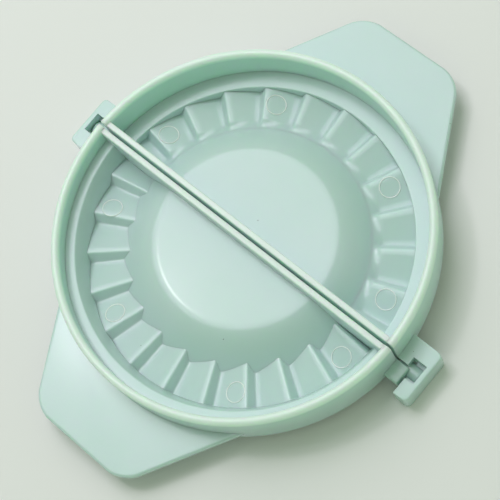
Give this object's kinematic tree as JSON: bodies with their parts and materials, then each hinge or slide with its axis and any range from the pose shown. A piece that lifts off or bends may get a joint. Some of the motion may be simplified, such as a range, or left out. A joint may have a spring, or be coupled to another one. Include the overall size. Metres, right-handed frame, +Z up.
{
  "type": "empanada press",
  "caption": "Hinged folding dough press with a pleated seam, a domed filling pocket in each half, a round cutting ring on its back and two flat handles.",
  "frame": {"origin": "middle of the hinge line, at the height of the surface the open press lies on", "axes": "+X along the hinge towards half A's hook, +Y towards half A's handle, +Z up, out of the back of the open press"},
  "size_m": [0.1278, 0.1468, 0.019],
  "materials": {
    "mint_plastic": "satin, slightly translucent"
  },
  "bodies": {
    "half_a": {"a_dome": "mint_plastic", "a_pleat_ring": "mint_plastic", "a_ledge": "mint_plastic", "a_ring": "mint_plastic", "a_edge_bar": "mint_plastic", "a_handle": "mint_plastic", "a_hinge_arm": "mint_plastic", "a_hinge_peg": "mint_plastic", "a_hinge_hook": "mint_plastic"},
    "half_b": {"b_dome": "mint_plastic", "b_pleat_ring": "mint_plastic", "b_ledge": "mint_plastic", "b_ring": "mint_plastic", "b_edge_bar": "mint_plastic", "b_handle": "mint_plastic", "b_hinge_arm": "mint_plastic", "b_hinge_peg": "mint_plastic", "b_hinge_hook": "mint_plastic"}
  },
  "joints": [
    {"name": "fold", "type": "hinge", "parent": "half_a", "child": "half_b", "pos_m": [0, 0, 0.0035], "axis": [1, 0, 0], "range_deg": [0, 180]}
  ]
}
